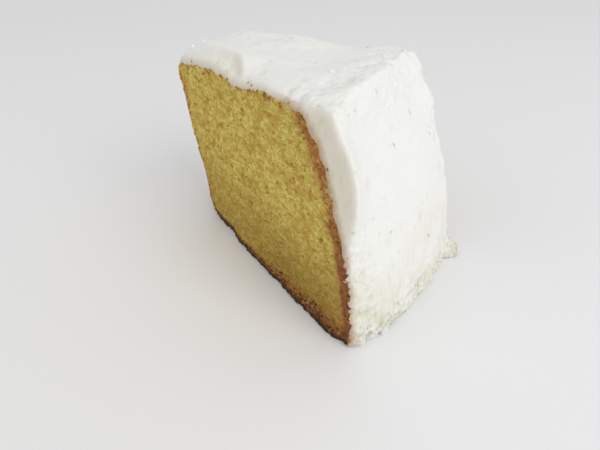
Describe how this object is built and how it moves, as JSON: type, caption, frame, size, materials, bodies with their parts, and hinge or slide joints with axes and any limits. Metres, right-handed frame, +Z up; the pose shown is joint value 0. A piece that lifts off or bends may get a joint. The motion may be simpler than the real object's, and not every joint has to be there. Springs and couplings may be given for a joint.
{
  "type": "slice of iced lemon chiffon cake",
  "caption": "Tall wedge cut from a ring-shaped lemon chiffon cake: open yellow sponge with a browned crust, under whipped white icing on its top and outer side.",
  "frame": {"origin": "middle of the slice's bounding box, on the base it stands on", "axes": "+X from the tip at the ring's hole towards the iced outer side, along the middle of the wedge; the near cut faces -Y and the far cut +Y; +Z up"},
  "size_m": [0.0996, 0.0638, 0.0706],
  "materials": {
    "sponge": "open yellow crumb with a dry, matt, browned crust",
    "icing": "whipped white icing, soft satin, with flecks of zest"
  },
  "bodies": {
    "root": {"sponge": "sponge", "icing": "icing"}
  },
  "joints": []
}
